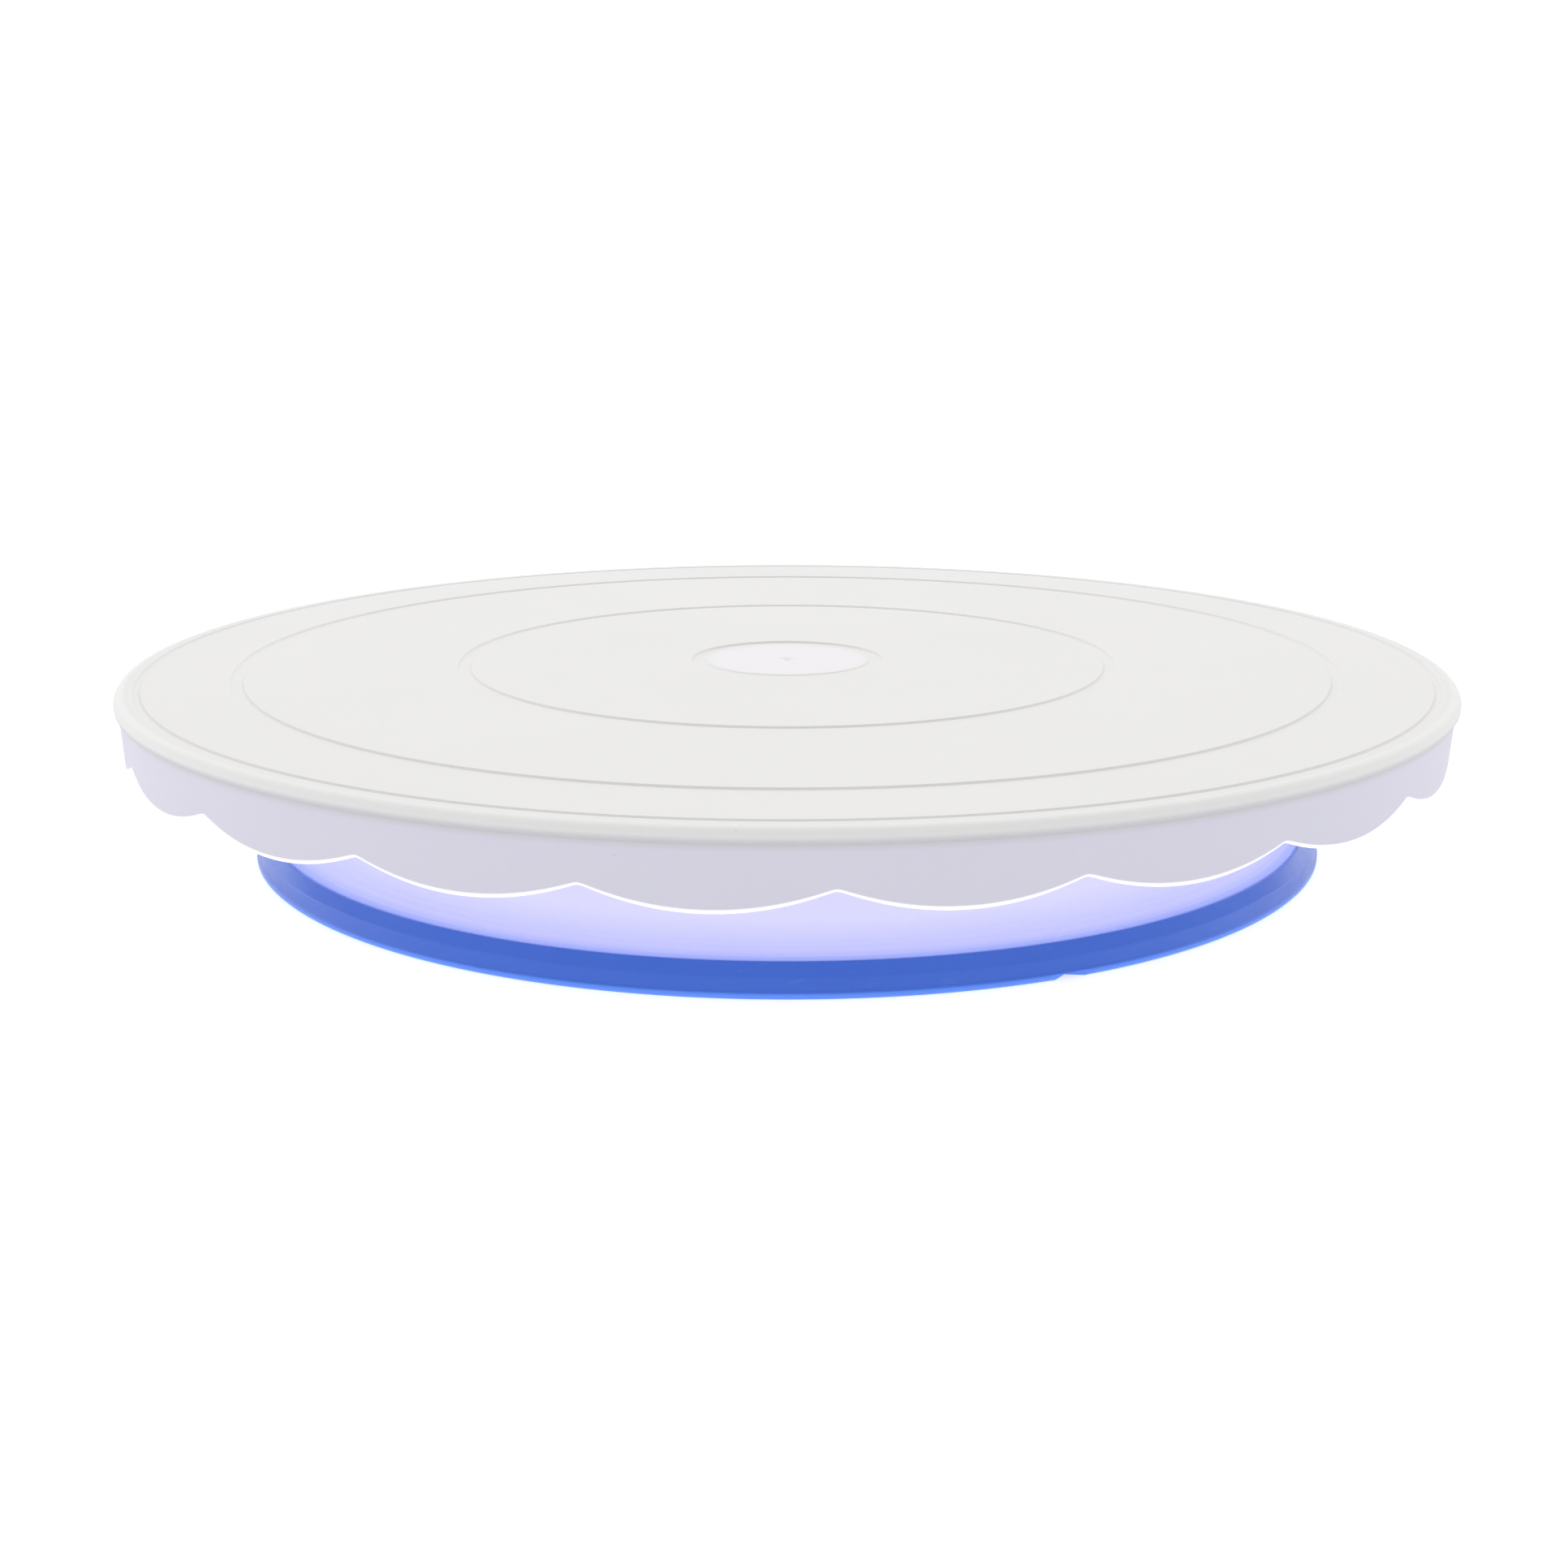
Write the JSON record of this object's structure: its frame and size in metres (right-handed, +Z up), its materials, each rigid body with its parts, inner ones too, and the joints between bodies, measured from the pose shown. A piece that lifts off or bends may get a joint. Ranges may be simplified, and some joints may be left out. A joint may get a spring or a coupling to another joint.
{
  "type": "cake turntable",
  "caption": "Low revolving stand for decorating cakes: a flat round plate with a scalloped skirt on a ball bearing, over a shallow base with a grip ring.",
  "frame": {"origin": "on the standing surface, on the axis of rotation", "axes": "+Z up along the axis of rotation; +X to the right and +Y away, seen from the front"},
  "size_m": [0.305, 0.305, 0.041],
  "materials": {
    "plate_plastic": "satin moulded white polypropylene, fine grain on the top face",
    "base_plastic": "smooth, slightly translucent white polypropylene",
    "grip_rubber": "smooth blue thermoplastic rubber",
    "race_steel": "pressed and ground steel",
    "ball_steel": "polished bearing steel",
    "cage_nylon": "natural nylon",
    "bush_acetal": "black acetal",
    "screw_steel": "zinc plated steel"
  },
  "bodies": {
    "base": {"base_shell": "base_plastic", "grip_ring": "grip_rubber", "lower_race": "race_steel", "pivot_bush": "bush_acetal", "bottom_cap": "base_plastic"},
    "turntable": {"turntable_plate": "plate_plastic", "upper_race": "race_steel", "pivot_screw": "screw_steel", "thrust_washer": "cage_nylon"},
    "bearing_cage": {"ball_cage": "cage_nylon", "ball_01": "ball_steel", "ball_02": "ball_steel", "ball_03": "ball_steel", "ball_04": "ball_steel", "ball_05": "ball_steel", "ball_06": "ball_steel", "ball_07": "ball_steel", "ball_08": "ball_steel", "ball_09": "ball_steel", "ball_10": "ball_steel", "ball_11": "ball_steel", "ball_12": "ball_steel", "ball_13": "ball_steel", "ball_14": "ball_steel", "ball_15": "ball_steel", "ball_16": "ball_steel"}
  },
  "joints": [
    {"name": "plate_spin", "type": "hinge", "parent": "base", "child": "turntable", "pos_m": [0, 0, 0.0297], "axis": [0, 0, 1], "continuous": true},
    {"name": "cage_spin", "type": "hinge", "parent": "base", "child": "bearing_cage", "pos_m": [0, 0, 0.0297], "axis": [0, 0, 1], "continuous": true}
  ],
  "couplings": [
    {"joint": "cage_spin", "follows": "plate_spin", "ratio": 0.5}
  ]
}
